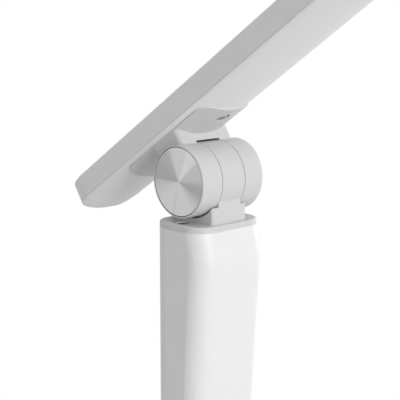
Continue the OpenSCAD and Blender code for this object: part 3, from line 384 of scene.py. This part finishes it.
FINISHES = {
    "white_shell": moulded("white_shell", (0.82, 0.82, 0.82), roughness=0.45),
    "hinge_grey": moulded("hinge_grey", (0.63, 0.63, 0.63), roughness=0.44),
    # spun disc: bright is the painted highlight colour, dark the colour between highlights, and the third
    # colour the painted shadow line at the rim
    "spun_disc": spun_metal("spun_disc", (0.65, 0.65, 0.65), dark=(0.345, 0.345, 0.345), rim_shadow=(0.1, 0.1, 0.1)),
    "button_silver": moulded("button_silver", (0.62, 0.62, 0.63), roughness=0.35, texture=0.2 * MM),
    "bright_steel": machined("bright_steel", (0.62, 0.62, 0.63), roughness=0.3),
    "dark_steel": machined("dark_steel", (0.06, 0.06, 0.06), roughness=0.4),
    "zinc_steel": drawn_metal("zinc_steel", (0.55, 0.56, 0.57), LEVEL),
    "weight_iron": cast_iron("weight_iron", (0.05, 0.05, 0.052)),
    "extruded_aluminium": drawn_metal("extruded_aluminium", (0.66, 0.67, 0.68), UPRIGHT),
    "pad_rubber": rubber("pad_rubber", (0.09, 0.09, 0.095)),
    "bush_polymer": moulded("bush_polymer", (0.75, 0.72, 0.64), roughness=0.45, mottle=0.05),
    "board_green": circuit_board("board_green", (0.02, 0.12, 0.05), track=(0.05, 0.22, 0.09)),
    "board_white": circuit_board("board_white", (0.72, 0.72, 0.72), track=(0.82, 0.81, 0.78)),
    "switch_black": moulded("switch_black", (0.02, 0.02, 0.02), roughness=0.45, mottle=0.1),
    "chip_yellow": phosphor("chip_yellow", (0.8, 0.62, 0.12)),
    "frosted_window": frosted("frosted_window", (0.83, 0.82, 0.775)),
    "reflector_white": moulded(
        "reflector_white", (0.85, 0.85, 0.85), roughness=0.6, texture=0.6 * MM, mottle=0.01
    ),
    "lead_grey": moulded("lead_grey", (0.1, 0.1, 0.105), roughness=0.5, texture=0.8 * MM, mottle=0.08),
}

# ---------------------------------------------------------------- pieces

SLOT_OF = {part["node"]: part["material_slot"] for part in frame["record"]["subparts"]}
BODY_OF = {
    node: body
    for body, nodes in frame["record"]["behaviour"]["bodies"].items()
    for node in nodes
}

EDGES = {                                     # broken edge of each outer piece, 0 for none
    "base_shell": 0.25 * MM,
    "base_yoke": 0.25 * MM,
    "stem_foot": 0.25 * MM,
    "stem_knuckle": 0.25 * MM,
    "head_yoke": 0.25 * MM,
    "base_end_discs": 0.12 * MM,
    "head_end_discs": 0.12 * MM,
    "power_button": 0.15 * MM,
    "mode_button": 0.15 * MM,
    "stem_shell": 0,
    "head_housing": 0.3 * MM,
    "head_cover": 0.3 * MM,
    "diffuser": 0,
}
EDGE_SEGMENTS = 2
EDGE_ANGLE = math.radians(40)                 # edges sharper than this are broken
SMOOTH_ANGLE = math.radians(35)               # and those softer than this are shaded round
MERGE_WITHIN = 0.002 * MM
FLAT_WITHIN = math.radians(0.2)
SLICED = ("head_housing", "head_cover", "diffuser")
SLICE_STEP = 5 * MM
SLICE_REACH = 400 * MM                        # each way from the upper hinge, past both ends of the head


def finish_pieces():
    """Gives each CAD piece the finish of its slot."""
    for name, node in frame["nodes"].items():
        node.data.materials.clear()
        node.data.materials.append(FINISHES[SLOT_OF[name]])


def slice_along(direction):
    """Cuts across the open mesh every few millimetres, so that long faces shade evenly."""
    for k in range(int(2 * SLICE_REACH / SLICE_STEP)):
        bpy.ops.mesh.select_all(action="SELECT")
        cut = HEAD_AXIS + direction * (k * SLICE_STEP - SLICE_REACH)
        bpy.ops.mesh.bisect(plane_co=cut, plane_no=direction)


def skin(name):
    """A merged and softly shaded copy that stands for a CAD node."""
    piece = bpy.data.objects.new(name + "_skin", frame["nodes"][name].data.copy())
    bpy.context.collection.objects.link(piece)
    bpy.ops.object.select_all(action="DESELECT")
    bpy.context.view_layer.objects.active = piece
    piece.select_set(True)
    bpy.ops.object.mode_set(mode="EDIT")
    bpy.ops.mesh.select_all(action="SELECT")
    bpy.ops.mesh.remove_doubles(threshold=MERGE_WITHIN)
    bpy.ops.mesh.dissolve_limited(angle_limit=FLAT_WITHIN)
    if name in SLICED:
        slice_along(ALONG_HEAD)
    bpy.ops.object.mode_set(mode="OBJECT")
    if EDGES[name]:
        edge = piece.modifiers.new("edge", "BEVEL")
        edge.width = EDGES[name]
        edge.segments = EDGE_SEGMENTS
        edge.angle_limit = EDGE_ANGLE
        bpy.ops.object.modifier_apply(modifier=edge.name)
    bpy.ops.object.shade_smooth_by_angle(angle=SMOOTH_ANGLE)
    evened = piece.modifiers.new("evened", "WEIGHTED_NORMAL")
    evened.keep_sharp = True
    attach(piece, BODY_OF[name])
    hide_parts(name)


# ---------------------------------------------------------------- stage

SKY = 0.41
FLOOR_SIZE = 30
FLOOR_COLOR = (0.7, 0.7, 0.7)
FLOOR_ROUGHNESS = 0.9
FLOOR_FADE = (0.2, 0.65)                      # the floor turns white between these distances from the lamp
FLOOR_GLOW = 0.5                              # and is so far on its way there under the lamp
LIGHT_SIDE = 2
LIGHTS = {                                    # place, point that it lights, watts
    "key": ((3.88, -0.5, 1.15), (0, 0, 0.32), 91),
    "side": ((0, 4, 0.6), (0, 0, 0.32), 55),
    "top": ((-1.2, 0, 3.8), (0, 0, 0.2), 28),
}


def to_eye(wiring):
    """1 for what the camera sees, straight or by way of metal or glass, and 0 for what lights the lamp."""
    path = wiring.node("ShaderNodeLightPath")
    seen, mirrored, through = (
        Value(wiring, path.outputs[ray])
        for ray in ("Is Camera Ray", "Is Glossy Ray", "Is Transmission Ray")
    )
    return wiring.math("MAXIMUM", seen, wiring.math("MAXIMUM", mirrored, through))


def add_floor():
    """A floor that keeps the lamp's shadow and turns into the white behind it."""
    bpy.ops.object.select_all(action="DESELECT")
    bpy.ops.mesh.primitive_plane_add(size=FLOOR_SIZE)
    floor = bpy.context.object
    floor.name = "floor"
    finish = Finish("floor", FLOOR_COLOR, FLOOR_ROUGHNESS)
    away = finish.node("ShaderNodeVectorMath", {"operation": "LENGTH"}, {FIRST: finish.place()})
    fade = Value(finish, away.outputs["Value"]).rise(*FLOOR_FADE)
    white = finish.node("ShaderNodeEmission", None, {"Color": WHITE, "Strength": 1.0})
    inputs = {
        "Fac": (FLOOR_GLOW + fade * (1 - FLOOR_GLOW)) * to_eye(finish),
        SHADER_LOW: finish.shader.outputs["BSDF"],
        SHADER_HIGH: white.outputs["Emission"],
    }
    mix = finish.node("ShaderNodeMixShader", None, inputs)
    finish.plug(finish.tree.nodes["Material Output"].inputs["Surface"], mix.outputs["Shader"])
    floor.data.materials.append(finish.material)


def add_world():
    """An even soft sky that lights the lamp, and shows as plain white behind it."""
    world = bpy.data.worlds.new("studio")
    bpy.context.scene.world = world
    sky = Wiring(world)
    background = sky.tree.nodes["Background"]
    sky.plug(background.inputs["Color"], WHITE)
    sky.plug(background.inputs["Strength"], SKY + to_eye(sky) * (1 - SKY))


def add_light(name, place, aim, power):
    """A square light at a place, turned to the point that it lights."""
    data = bpy.data.lights.new(name, "AREA")
    data.shape = "SQUARE"
    data.size = LIGHT_SIDE
    data.energy = power
    light = bpy.data.objects.new(name, data)
    bpy.context.collection.objects.link(light)
    light.location = place
    light.rotation_euler = (Vector(aim) - Vector(place)).to_track_quat("-Z", "Y").to_euler()


add_camera()
finish_pieces()
for name in EDGES:
    skin(name)
add_floor()
add_world()
for name, light in LIGHTS.items():
    add_light(name, *light)
bpy.context.scene.view_settings.view_transform = "Standard"
